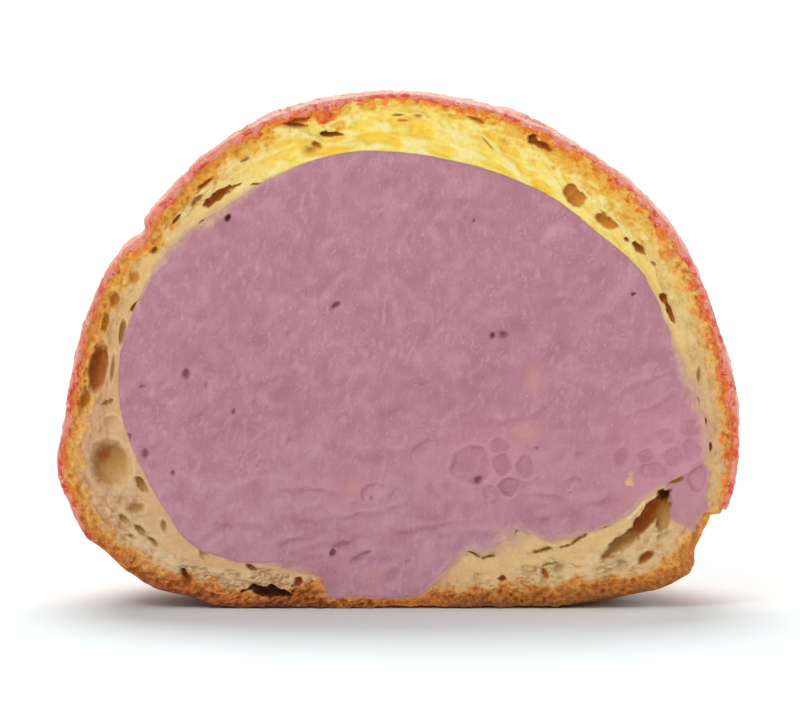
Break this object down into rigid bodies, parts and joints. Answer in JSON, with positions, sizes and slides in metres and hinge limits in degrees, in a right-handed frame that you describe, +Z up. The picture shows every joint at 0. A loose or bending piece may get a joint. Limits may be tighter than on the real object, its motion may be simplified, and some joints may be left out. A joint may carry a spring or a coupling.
{
  "type": "half cream puff",
  "caption": "Cream puff cut in half upright, showing the cream that fills a hollow choux bun under a baked sugar-dough crust; stands on its flat base.",
  "frame": {"origin": "middle of the bounding box's underside, on the surface that the puff stands on", "axes": "+Z up from the flat base, +X along the cut face's width, -Y out of the cut face"},
  "size_m": [0.0758, 0.0433, 0.0576],
  "materials": {
    "choux": "baked choux: pale yellow crumb with air cells, golden to brown crust, matt",
    "craquelin": "baked sugar dough: pink and salmon with red specks, rough and cracked, faintly shiny sugar",
    "cream": "mauve pastry cream: smooth, moist, soft sheen, smeared by the knife"
  },
  "bodies": {
    "root": {"choux_shell": "choux", "craquelin_crust": "craquelin", "cream_filling": "cream"}
  },
  "joints": []
}
